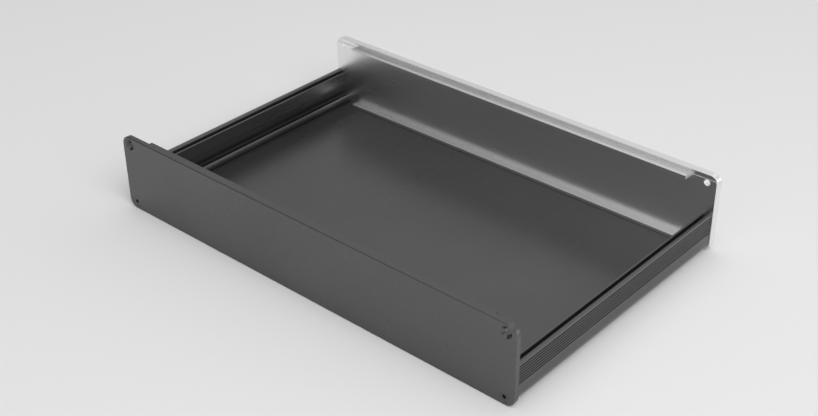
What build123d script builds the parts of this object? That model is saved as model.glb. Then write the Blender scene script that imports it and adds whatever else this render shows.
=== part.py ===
from build123d import *
import os

# Open-topped aluminium amplifier case, in millimetres: the lower half of a split
# extrusion, a panel at each end of it, and the screws that hold the panels on.
# X runs across the panels, Y from the front to the rear and Z up.
# The origin is the middle of the footprint, on the surface that the case stands on.

# Outline of the closed case, which is that of its panels
case_width = 250.0
case_height = 41.5

# Lower shell, one extrusion cut to length, a little narrower than the panels
shell_length = 152.5
side_overhang = 0.75
split_height = 21.5
shell_corner_radius = 6.0
skin = 2.2
floor_thickness = 2.2
skin_outer_round = 0.3
skin_inner_round = 1.0

# Channel along the top of each side wall, where the upper half is keyed on
channel_width = 2.1
channel_depth = 6.0
lip_thickness = 1.0
lip_drop = 0.9
lip_round = 0.4
bridge_thickness = 1.2

# Fine grooves along the outside of each side wall
groove_count = 7
groove_pitch = 1.45
groove_width = 0.75
groove_depth = 0.45
groove_top_margin = 1.75

# Screw ports in the lower corners of the extrusion
screw_inset_x = 5.4
screw_inset_z = 4.2
port_radius = 2.8
port_core_radius = 1.25
port_slot_width = 1.0
port_slot_angle = 58.0
tapped_depth = 9.0
thread_clearance = 0.05

# End panels, with two ribs along the inner side
front_panel_thickness = 3.0
front_corner_radius = 5.0
rear_panel_thickness = 4.5
rear_corner_radius = 4.0
panel_edge_chamfer = 0.3
rib_thickness = 2.2
rib_depth = 4.0
rib_end_inset = 15.0
rib_edge_chamfer = 0.25

# Fine line along each rib, and the shallow lands milled beside its ends
rib_line_width = 0.6
rib_line_depth = 0.3
rib_line_offset = 1.1
land_height = 2.4
land_depth = 0.25

# Countersunk socket screws, M3 x 10
screw_radius = 1.5
screw_length = 10.0
screw_tip_chamfer = 0.4
screw_hole_radius = 1.7
countersink_radius = 3.0
head_recess = 0.15
socket_across_flats = 2.0
socket_depth = 1.1

# Places that follow from the sizes above
half_width = case_width / 2
shell_half_width = half_width - side_overhang
hole_x = half_width - screw_inset_x
lower_hole_z = screw_inset_z
upper_hole_z = case_height - screw_inset_z
lip_top = split_height - lip_drop
rear_face_y = (front_panel_thickness + shell_length + rear_panel_thickness) / 2
front_face_y = -rear_face_y
shell_front_y = front_face_y + front_panel_thickness
shell_rear_y = rear_face_y - rear_panel_thickness


def both_sides(left):
    """A piece of the left side together with its mirror image on the right."""
    return left + mirror(left, Plane.YZ)


def corners_at(section, x, y):
    """The section's corners at (x, y) and at its mirror image (-x, y)."""
    places = (Vector(x, y), Vector(-x, y))
    return [section.vertices().sort_by_distance(place)[0] for place in places]


def u_section():
    """Floor and two side walls, rounded below and along both edges of each wall top."""
    inner_half_width = shell_half_width - skin
    outline = Rectangle(2 * shell_half_width, split_height, align=(Align.CENTER, Align.MIN))
    lower_corners = outline.vertices().group_by(Axis.Y)[0]
    outline = fillet(lower_corners, shell_corner_radius)
    hollow = Rectangle(2 * inner_half_width, split_height, align=(Align.CENTER, Align.MIN))
    section = outline - Pos(0, floor_thickness) * hollow
    section = fillet(corners_at(section, shell_half_width, split_height), skin_outer_round)
    return fillet(corners_at(section, inner_half_width, split_height), skin_inner_round)


def wall_top_channel():
    """Bridge and inner lip that form the channel behind the left wall's outer skin."""
    block_width = channel_width + lip_thickness
    block_height = channel_depth + bridge_thickness
    block = Rectangle(block_width, block_height, align=(Align.MIN, Align.MAX))
    channel = Rectangle(channel_width, channel_depth, align=(Align.MIN, Align.MAX))
    profile = block - channel
    profile = fillet(profile.vertices().group_by(Axis.Y)[-1], lip_round)
    return Pos(-shell_half_width + skin, lip_top) * profile


def port_body():
    """Round screw port and the web that joins it to the left lower corner, not yet bored."""
    to_wall = shell_half_width - skin - hole_x
    to_floor = lower_hole_z - floor_thickness
    web = Rectangle(to_wall, to_floor, align=Align.MAX)
    return Pos(-hole_x, lower_hole_z) * (Circle(port_radius) + web)


def port_cuts():
    """Core bore of the left port, and the slot that opens it towards the inside."""
    slot_length = port_radius + port_slot_width
    slot = Rectangle(slot_length, port_slot_width, align=(Align.MIN, Align.CENTER))
    cuts = Circle(port_core_radius) + Rot(0, 0, port_slot_angle) * slot
    return Pos(-hole_x, lower_hole_z) * cuts


def side_grooves():
    """Fine grooves in the outer face of the left wall, counted down from its top."""
    grooves = Sketch()
    for number in range(groove_count):
        height = split_height - groove_top_margin - number * groove_pitch
        grooves += Pos(-shell_half_width, height) * Rectangle(2 * groove_depth, groove_width)
    return grooves


def shell_section():
    section = u_section() + both_sides(wall_top_channel()) + both_sides(port_body())
    section -= both_sides(port_cuts())
    return section - both_sides(side_grooves())


def along_y(solid):
    """Turn a solid made along Z so that it runs along Y."""
    return Rot(-90, 0, 0) * solid


def make_lower_shell():
    shell = Pos(0, shell_rear_y, 0) * extrude(Plane.XZ * shell_section(), shell_length)
    tapped_bore = along_y(Cylinder(screw_radius + thread_clearance, tapped_depth))
    for x in (-hole_x, hole_x):
        for y in (shell_front_y + tapped_depth / 2, shell_rear_y - tapped_depth / 2):
            shell -= Pos(x, y, lower_hole_z) * tapped_bore
    return shell


def panel_blank(thickness, corner_radius):
    """Flat panel with rounded corners. Its outer face lies at Y = 0 and looks along -Y."""
    outline = Pos(0, case_height / 2) * RectangleRounded(case_width, case_height, corner_radius)
    blank = extrude(Plane.XZ * outline, -thickness)
    faces = blank.faces().filter_by(Axis.Y)
    return chamfer(faces.edges(), panel_edge_chamfer)


def upper_rib():
    """Rib that lies just under the roof of the case, on an inner face at Y = 0."""
    profile = Rectangle(rib_depth, rib_thickness, align=(Align.MIN, Align.MAX))
    free_corners = profile.vertices().group_by(Axis.X)[-1]
    profile = chamfer(free_corners, rib_edge_chamfer)
    profile -= Pos(rib_line_offset, 0) * Rectangle(rib_line_width, 2 * rib_line_depth)
    half_length = half_width - rib_end_inset
    rib = extrude(Plane.YZ * profile, half_length, both=True)
    return Pos(0, 0, case_height - floor_thickness) * rib


def upper_lands():
    """Shallow cuts in the same inner face, between the rib and the panel's two ends."""
    depth = 2 * land_depth
    land = Box(rib_end_inset, depth, land_height, align=(Align.MIN, Align.CENTER, Align.MAX))
    return both_sides(Pos(-half_width, 0, case_height) * land)


def countersunk_hole(panel_thickness):
    """Hole for one screw, cut from the outer face at Y = 0 towards +Y."""
    cone_depth = countersink_radius - screw_hole_radius
    bottom = (Align.CENTER, Align.CENTER, Align.MIN)
    shaft = Cylinder(screw_hole_radius, panel_thickness, align=bottom)
    cone = Cone(countersink_radius, screw_hole_radius, cone_depth, align=bottom)
    return along_y(shaft + cone)


def make_panel(thickness, corner_radius):
    """One end panel, with its outer face at Y = 0 and its ribs on the inner one."""
    mid_height = Plane.XY.offset(case_height / 2)
    ribs = upper_rib() + mirror(upper_rib(), mid_height)
    lands = upper_lands() + mirror(upper_lands(), mid_height)
    panel = panel_blank(thickness, corner_radius) + Pos(0, thickness, 0) * ribs
    panel -= Pos(0, thickness, 0) * lands
    hole = countersunk_hole(thickness)
    for x in (-hole_x, hole_x):
        for z in (lower_hole_z, upper_hole_z):
            panel -= Pos(x, 0, z) * hole
    return panel


def make_screw():
    """Countersunk socket screw that points along +Y from an outer face at Y = 0."""
    head_radius = countersink_radius - head_recess
    head_end = head_recess + head_radius - screw_radius
    tip = head_recess + screw_length
    profile = Polyline(
        (0, head_recess),
        (head_radius, head_recess),
        (screw_radius, head_end),
        (screw_radius, tip - screw_tip_chamfer),
        (screw_radius - screw_tip_chamfer, tip),
        (0, tip),
        close=True,
    )
    screw = revolve(make_face(profile), Axis.Y)
    hexagon = RegularPolygon(socket_across_flats / 2, 6, major_radius=False)
    socket = along_y(extrude(hexagon, socket_depth))
    return screw - Pos(0, head_recess, 0) * socket


def at_front(piece, x=0, z=0):
    """Move a piece made against the plane Y = 0 to the front of the case."""
    return Pos(x, front_face_y, z) * piece


def at_rear(piece, x=0, z=0):
    """The same at the rear, with the piece turned to look the other way."""
    return Pos(x, rear_face_y, z) * Rot(0, 0, 180) * piece


def main():
    screw = make_screw()
    front_panel = make_panel(front_panel_thickness, front_corner_radius)
    rear_panel = make_panel(rear_panel_thickness, rear_corner_radius)
    pieces = {
        "lower_shell": make_lower_shell(),
        "front_panel": at_front(front_panel),
        "rear_panel": at_rear(rear_panel),
    }
    for side, x in (("left", -hole_x), ("right", hole_x)):
        pieces[f"front_{side}_screw"] = at_front(screw, x, lower_hole_z)
        pieces[f"rear_{side}_screw"] = at_rear(screw, x, lower_hole_z)

    os.makedirs("parts", exist_ok=True)
    for name, piece in pieces.items():
        export_step(piece, f"parts/{name}.step")


main()
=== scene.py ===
# %% [markdown]
# # An open aluminium amplifier case
#
# The real object is the lower half of a small amplifier case. A U-shaped aluminium
# extrusion makes the floor and the two side walls, and a thick panel closes each end.
# The extrusion and the front panel are anodised dark grey. The rear panel is bare metal,
# bright enough to mirror the inside of the case. Four blackened screws hold the panels.
#
# The solids come finished from the CAD model, so this lesson is about metal finishes,
# light and the camera. Lengths are in metres, in the frame of the CAD model: X runs to the
# right along the panels, Y from the front panel to the rear one and Z up.

# %% Load the solids
import math

import bpy
from mathutils import Matrix, Vector

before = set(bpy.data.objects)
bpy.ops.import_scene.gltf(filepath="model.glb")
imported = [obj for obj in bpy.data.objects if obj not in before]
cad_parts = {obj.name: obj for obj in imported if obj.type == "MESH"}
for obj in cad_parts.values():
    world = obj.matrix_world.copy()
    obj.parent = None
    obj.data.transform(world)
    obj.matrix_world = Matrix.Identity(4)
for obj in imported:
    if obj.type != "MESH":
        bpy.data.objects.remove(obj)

MM = 0.001
scene = bpy.context.scene
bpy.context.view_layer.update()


print("Solids:", sorted(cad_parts))

# %% [markdown]
# ## Colours and shader nodes
#
# Colours are easiest to read as the hex values that a picture editor shows. Those are
# sRGB values, and a shader works with linear light, so one function turns the one into
# the other. The constants in it are those of the sRGB standard.
#
# A material is a small graph of nodes. One function adds a node of any kind, sets its
# properties and fills its sockets. A socket is filled either with a plain value or with
# another node's output.

# %% Colour and node helpers
def linear(hex_colour):
    """The linear RGBA colour of an sRGB hex value such as "#808080"."""
    channels = [int(hex_colour[place:place + 2], 16) / 255 for place in (1, 3, 5)]
    straight = [c / 12.92 if c <= 0.04045 else ((c + 0.055) / 1.055) ** 2.4 for c in channels]
    return (*straight, 1.0)


def add(tree, kind, sockets=None, **settings):
    """Add a node. sockets maps a socket's name or number to a value or to an output."""
    node = tree.nodes.new(kind)
    for name, value in settings.items():
        setattr(node, name, value)
    for name, value in (sockets or {}).items():
        if isinstance(value, bpy.types.NodeSocket):
            tree.links.new(value, node.inputs[name])
        else:
            node.inputs[name].default_value = value
    return node


def new_material(name):
    """An empty material, its node tree and the output node."""
    material = bpy.data.materials.new(name)
    material.use_nodes = True
    tree = material.node_tree
    tree.nodes.clear()
    return material, tree, add(tree, "ShaderNodeOutputMaterial")


print("Mid grey #808080 in linear light:", round(linear("#808080")[0], 4))

# %% [markdown]
# ## Patterns at their real size
#
# Metal never looks flat, because its surface remembers how it was made. An extrusion
# carries faint lines along its length, from the die. A blasted face has an even grain.
# A brushed one has long scratches along the path of the abrasive.
#
# All of these are noise, stretched along one axis or not at all. The noise texture has
# about one cell per unit, so the coordinates are divided by the size of one cell along
# X, Y and Z, and every pattern is stated in millimetres. Pictures of the right size could
# do the same, but they need unwrapped surfaces, and noise needs only the place.
#
# The values of a noise texture crowd round the middle. The second function takes that
# usual range and spreads it over the range that a finish needs.

# %% Pattern helpers
USUAL_LOW, USUAL_HIGH = 0.3, 0.7


def noise_mm(tree, cell_mm, detail, roughness=0.5):
    """Noise between 0 and 1 whose cells have this size in mm along X, Y and Z."""
    place = add(tree, "ShaderNodeTexCoord").outputs["Object"]
    cells_per_metre = [1 / (size * MM) for size in cell_mm]
    stretched = add(tree, "ShaderNodeMapping", {"Vector": place, "Scale": cells_per_metre})
    pattern = add(tree, "ShaderNodeTexNoise", {
        "Vector": stretched.outputs["Vector"],
        "Scale": 1.0,
        "Detail": detail,
        "Roughness": roughness,
    })
    return pattern.outputs["Fac"]


def spread(tree, pattern, low, high):
    """The pattern's usual range spread over low to high."""
    ranged = add(tree, "ShaderNodeMapRange", {
        "Value": pattern,
        "From Min": USUAL_LOW,
        "From Max": USUAL_HIGH,
        "To Min": low,
        "To Max": high,
    })
    return ranged.outputs["Result"]


print("Noise is read between", USUAL_LOW, "and", USUAL_HIGH)

# %% [markdown]
# ## Dark grey anodised aluminium
#
# Anodising grows a thin and hard oxide layer on the metal, and a dye fills its pores. The
# dye swallows most of the light, so what the eye sees is still metal, but a dark neutral
# one. The etch before the bath leaves it satin: it has a soft sheen, and what stands near
# it shows only as a blurred shape.
#
# It could be a clear coat over dark metal, but the layer is only some hundredths of a
# millimetre thick and etched like the metal, so there is no second gloss to show. One
# metal of a dark colour is simpler. It is a little less than fully metallic, because the
# dyed oxide also scatters a small share of the light evenly. The IOR stays at its default.
#
# The shade drifts slightly from place to place, as it does in a real bath. The extrusion
# has die lines along Y, and the front panel has the even grain of a blasted face. Real
# lines and grains are finer than a pixel of the picture, so both are drawn coarser, 0.4 to
# 1.2 mm wide, and about a thousandth of a millimetre deep.

# %% Anodised finish
DRIFT_MM = (45, 45, 45)
ANODISED_GREYS = ("#646464", "#686868")
ANODISED_METALLIC = 0.85
SATIN_ROUGHNESS = (0.27, 0.31)
ANODISED_DEPTH_MM = 0.0012
ANODISED_BUMP = 0.6

# The Mix node has a set of sockets for each type, and these are its colour sockets
COLOUR_A, COLOUR_B, COLOUR_RESULT = 6, 7, 2


def anodised_aluminium(name, grain_mm, line_mm):
    """Dyed and etched aluminium, with a fine grain and lines left by the making."""
    material, tree, output = new_material(name)
    drift = noise_mm(tree, DRIFT_MM, detail=3.0)
    lines = noise_mm(tree, line_mm, detail=3.0)
    grain = noise_mm(tree, grain_mm, detail=2.0)
    tint = add(tree, "ShaderNodeMix", {
        "Factor": spread(tree, drift, 0.0, 1.0),
        COLOUR_A: linear(ANODISED_GREYS[0]),
        COLOUR_B: linear(ANODISED_GREYS[1]),
    }, data_type="RGBA")
    surface_height = add(tree, "ShaderNodeMath", {0: lines, 1: grain}, operation="ADD")
    bump = add(tree, "ShaderNodeBump", {
        "Strength": ANODISED_BUMP,
        "Distance": ANODISED_DEPTH_MM * MM,
        "Height": surface_height.outputs["Value"],
    })
    shader = add(tree, "ShaderNodeBsdfPrincipled", {
        "Base Color": tint.outputs[COLOUR_RESULT],
        "Metallic": ANODISED_METALLIC,
        "Roughness": spread(tree, lines, *SATIN_ROUGHNESS),
        "Normal": bump.outputs["Normal"],
    })
    tree.links.new(shader.outputs["BSDF"], output.inputs["Surface"])
    return material


extruded_finish = anodised_aluminium(
    "extruded_anodised_aluminium",
    grain_mm=(0.5, 0.5, 0.5),
    line_mm=(0.8, 120, 0.8),
)
blasted_finish = anodised_aluminium(
    "blasted_anodised_aluminium",
    grain_mm=(0.4, 0.4, 0.4),
    line_mm=(1.2, 1.2, 1.2),
)
print("Anodised finishes:", extruded_finish.name, "and", blasted_finish.name)

# %% [markdown]
# ## Bare aluminium with a fine brush
#
# The rear panel has no dye. Fine abrasive was drawn along it, in the direction of X, and
# left scratches a few hundredths of a millimetre wide. They are drawn 0.5 mm wide and
# 30 mm long, because finer ones vanish between two pixels.
#
# Scratches blur a reflection across themselves and keep it sharp along themselves, so
# the case's floor shows in the panel as a picture that is smeared up and down. Roughness
# alone would smear it the same in all directions. The shader's anisotropy does the rest,
# and its tangent is the direction in which a reflection is smeared.
#
# That direction lies in the surface and at right angles to X, which is the cross product
# of the surface's normal and X. On the panel's two end faces the normal is X itself and
# the product is zero, so a very small upright part is added, which only counts there.

# %% Bare brushed finish
BARE_ALUMINIUM = "#f7f7f7"
BRUSHED_ROUGHNESS = (0.27, 0.31)
BRUSHED_ANISOTROPY = 0.6
SCRATCH_MM = (30, 0.5, 0.5)
SCRATCH_DEPTH_MM = 0.006
SCRATCH_BUMP = 0.8
ALONG_THE_BRUSH = (1, 0, 0)
SLIGHTLY_UPRIGHT = (0, 0, 0.01)


def brushed_aluminium(name):
    """Bare metal with fine scratches along X."""
    material, tree, output = new_material(name)
    scratches = noise_mm(tree, SCRATCH_MM, detail=4.0, roughness=0.6)
    bump = add(tree, "ShaderNodeBump", {
        "Strength": SCRATCH_BUMP,
        "Distance": SCRATCH_DEPTH_MM * MM,
        "Height": scratches,
    })
    normal = add(tree, "ShaderNodeNewGeometry").outputs["Normal"]
    across = add(
        tree, "ShaderNodeVectorMath", {0: normal, 1: ALONG_THE_BRUSH},
        operation="CROSS_PRODUCT",
    )
    tangent = add(
        tree, "ShaderNodeVectorMath", {0: across.outputs["Vector"], 1: SLIGHTLY_UPRIGHT},
        operation="ADD",
    )
    shader = add(tree, "ShaderNodeBsdfPrincipled", {
        "Base Color": linear(BARE_ALUMINIUM),
        "Metallic": 1.0,
        "Roughness": spread(tree, scratches, *BRUSHED_ROUGHNESS),
        "Anisotropic": BRUSHED_ANISOTROPY,
        "Tangent": tangent.outputs["Vector"],
        "Normal": bump.outputs["Normal"],
    })
    tree.links.new(shader.outputs["BSDF"], output.inputs["Surface"])
    return material


brushed_finish = brushed_aluminium("brushed_bare_aluminium")
print("Bare finish:", brushed_finish.name)

# %% [markdown]
# ## Blackened steel screws
#
# The socket screws are turned steel with a black oxide, a thin dark layer that keeps some
# of the metal's gleam. It is made as the anodised metal is, as a dark metal that is not
# fully metallic. The grain of the oxide is drawn 0.3 mm wide, which is coarser than it is
# and a twentieth of the width of a head, so that the small heads don't look like plastic.

# %% Black oxide finish
BLACK_OXIDE = "#666666"
OXIDE_METALLIC = 0.9
OXIDE_ROUGHNESS = (0.3, 0.42)
OXIDE_GRAIN_MM = (0.3, 0.3, 0.3)
OXIDE_DEPTH_MM = 0.006
OXIDE_BUMP = 0.4


def black_oxide_steel(name):
    """Turned steel with a thin black oxide."""
    material, tree, output = new_material(name)
    grain = noise_mm(tree, OXIDE_GRAIN_MM, detail=3.0)
    bump = add(tree, "ShaderNodeBump", {
        "Strength": OXIDE_BUMP,
        "Distance": OXIDE_DEPTH_MM * MM,
        "Height": grain,
    })
    shader = add(tree, "ShaderNodeBsdfPrincipled", {
        "Base Color": linear(BLACK_OXIDE),
        "Metallic": OXIDE_METALLIC,
        "Roughness": spread(tree, grain, *OXIDE_ROUGHNESS),
        "Normal": bump.outputs["Normal"],
    })
    tree.links.new(shader.outputs["BSDF"], output.inputs["Surface"])
    return material


screw_finish = black_oxide_steel("black_oxide_steel")
print("Screw finish:", screw_finish.name)

# %% [markdown]
# ## Putting the finishes on
#
# Each solid gets one finish, because each real piece went through its bath or its brush
# as a whole. What isn't named in the table is a screw.

# %% Put the finishes on the solids
finish_of = {
    "lower_shell": extruded_finish,
    "front_panel": blasted_finish,
    "rear_panel": brushed_finish,
}
for node_name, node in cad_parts.items():
    finish = finish_of.get(node_name, screw_finish)
    for material_slot in node.material_slots:
        material_slot.material = finish
    print(node_name, "has", finish.name)

# %% [markdown]
# ## Floor
#
# The case stands on a plain pale floor that fills the whole picture, as on a wide roll of
# studio paper. Paper is matt, so it needs no gloss at all, and the plain diffuse shader
# is enough. The plane is far larger than the picture, which puts its end at the horizon
# in low views.

# %% Floor
FLOOR_SIZE = 60.0
STUDIO_PAPER = "#e6e6e6"
PAPER_ROUGHNESS = 0.5


def pale_floor(size):
    """A large plane at the height that the case stands on, in matt studio paper."""
    half = size / 2
    mesh = bpy.data.meshes.new("studio_floor")
    corners = [(-half, -half, 0), (half, -half, 0), (half, half, 0), (-half, half, 0)]
    mesh.from_pydata(corners, [], [(0, 1, 2, 3)])
    floor = bpy.data.objects.new("studio_floor", mesh)
    scene.collection.objects.link(floor)
    material, tree, output = new_material("matt_studio_paper")
    shader = add(tree, "ShaderNodeBsdfDiffuse", {
        "Color": linear(STUDIO_PAPER),
        "Roughness": PAPER_ROUGHNESS,
    })
    tree.links.new(shader.outputs["BSDF"], output.inputs["Surface"])
    mesh.materials.append(material)
    return floor


floor = pale_floor(FLOOR_SIZE)
print("Floor:", floor.name, "of", FLOOR_SIZE, "m in", floor.active_material.name)

# %% [markdown]
# ## Soft light from all round
#
# Metal shows what stands round it, so the light of a metal object is a room more than a
# lamp. Large lit panels on stands would do, as in a real studio, but a room of soft glows
# is easier to make in the world shader. The closer a direction is to the middle of a glow,
# the brighter it is there, and a power of the cosine sets how fast it falls off.
#
# Directions are given as on a compass: azimuth 0 is to the right of the case, 90 behind
# it, 180 to its left and 270 in front. The front left has no glow of its own. The bevel
# along the front panel's upper edge mirrors that side, so it shows as a thin dark line.
#
# A low pale wall stands all round on the horizon, so that a view from near the floor has
# a pale background too. It fades out before it is high enough for the case's floor to
# mirror it.

# %% World light
def compass(azimuth, elevation):
    """Direction with this azimuth, from +X towards +Y, and this elevation, in degrees."""
    turn, rise = math.radians(azimuth), math.radians(elevation)
    level = math.cos(rise)
    return Vector((math.cos(turn) * level, math.sin(turn) * level, math.sin(rise)))


def soft_glow(tree, sky, azimuth, elevation, tightness, strength):
    """Brightness that falls off with the angle from one direction of the sky."""
    middle = compass(azimuth, elevation)
    cosine = add(
        tree, "ShaderNodeVectorMath", {0: sky, 1: middle}, operation="DOT_PRODUCT"
    ).outputs["Value"]
    near_side = add(tree, "ShaderNodeMath", {0: cosine, 1: 0.0}, operation="MAXIMUM").outputs[0]
    shape = add(tree, "ShaderNodeMath", {0: near_side, 1: tightness}, operation="POWER").outputs[0]
    return add(tree, "ShaderNodeMath", {0: shape, 1: strength}, operation="MULTIPLY").outputs[0]


def low_wall(tree, sky, brightness, fade):
    """Brightness all round up to the first elevation of fade, and none from the second."""
    height = add(tree, "ShaderNodeSeparateXYZ", {"Vector": sky}).outputs["Z"]
    fade_start, fade_end = (math.sin(math.radians(elevation)) for elevation in fade)
    wall = add(tree, "ShaderNodeMapRange", {
        "Value": height,
        "From Min": fade_start,
        "From Max": fade_end,
        "To Min": brightness,
        "To Max": 0.0,
    })
    return wall.outputs["Result"]


def studio_room(glows, wall_brightness, wall_fade):
    """World of soft glows above a low pale wall."""
    world = bpy.data.worlds.new("studio_room")
    scene.world = world
    world.use_nodes = True
    tree = world.node_tree
    tree.nodes.clear()
    sky = add(tree, "ShaderNodeTexCoord").outputs["Generated"]
    total = low_wall(tree, sky, wall_brightness, wall_fade)
    for glow_settings in glows:
        glow = soft_glow(tree, sky, *glow_settings)
        total = add(tree, "ShaderNodeMath", {0: glow, 1: total}, operation="ADD").outputs[0]
    light = add(tree, "ShaderNodeBackground", {"Strength": total})
    output = add(tree, "ShaderNodeOutputWorld")
    tree.links.new(light.outputs["Background"], output.inputs["Surface"])


# Azimuth and elevation of the middle, tightness, strength
glows = {
    "overhead, for the paper and all that faces up": (0, 90, 10.0, 1.94),
    "high at the left, for the rounded edges": (168, 60, 14.0, 1.5),
    "behind, in the case's floor and the panels' upper edges": (90, 35, 8.0, 1.08),
    "in front, in the rear panel": (270, 35, 8.0, 1.28),
    "behind at the left, in the left half of the floor": (135, 35, 8.0, 0.12),
    "low behind at the right, on faces that look right": (42, 3, 8.0, 1.6),
    "low behind at the left, in the brushed upper edge": (135, 10, 10.0, 0.58),
}
studio_room(glows.values(), wall_brightness=0.7, wall_fade=(5, 12))
for purpose, (azimuth, elevation, _, strength) in glows.items():
    print("Glow of", strength, "at", (azimuth, elevation), purpose)

# %% [markdown]
# ## One soft box
#
# A lamp at a finite distance adds what the far room can't: the paper gets brighter towards
# it. The lamp is nearly a metre wide, so its shadow is soft, and it stands to the right,
# where the picture is brightest.

# %% Soft box
def soft_box(name, azimuth, elevation, watts, distance, side):
    """A square area lamp that looks at the case from this direction."""
    data = bpy.data.lights.new(name, "AREA")
    data.energy = watts
    data.shape = "SQUARE"
    data.size = side
    lamp = bpy.data.objects.new(name, data)
    direction = compass(azimuth, elevation)
    lamp.location = direction * distance
    lamp.rotation_euler = direction.to_track_quat("Z", "Y").to_euler()
    scene.collection.objects.link(lamp)
    return lamp


right_box = soft_box("right_box", azimuth=-20, elevation=45, watts=8.5, distance=1.4, side=0.9)
print("Soft box at", [round(value, 2) for value in right_box.location], "m")

# %% [markdown]
# ## Camera
#
# The camera stands in front of the case and to its right, two thirds of a metre away, and
# looks down into it. A longer lens from further off would flatten the case, and a wide one
# from nearby would make its near corner too large. Place, angles and lens belong together:
# they were worked out from the directions of the case's edges.

# %% Camera
CAMERA_PLACE = (0.37533, -0.42555, 0.36063)
CAMERA_YAW, CAMERA_PITCH, CAMERA_ROLL = 41.648, 31.669, -0.567
SENSOR_WIDTH_MM = 36.0
LENS_MM = 58.585


def aim(yaw, pitch, roll):
    """Rotation of a camera that looks along +Y when all three angles are zero."""
    turn = Matrix.Rotation(math.radians(yaw), 4, "Z")
    tilt = Matrix.Rotation(math.radians(90 - pitch), 4, "X")
    lean = Matrix.Rotation(math.radians(roll), 4, "Z")
    return turn @ tilt @ lean


camera_data = bpy.data.cameras.new("camera")
camera_data.sensor_width = SENSOR_WIDTH_MM
camera_data.lens = LENS_MM
camera = bpy.data.objects.new("camera", camera_data)
place = Matrix.Translation(CAMERA_PLACE)
camera.matrix_world = place @ aim(CAMERA_YAW, CAMERA_PITCH, CAMERA_ROLL)
scene.collection.objects.link(camera)
scene.camera = camera
print("Camera distance from the origin in m:", round(Vector(CAMERA_PLACE).length, 3))

# %% [markdown]
# ## Colour management
#
# The Standard view shows a colour as it is written, where a filmic one would make the
# pale paper greyer.

# %% View settings
scene.view_settings.view_transform = "Standard"
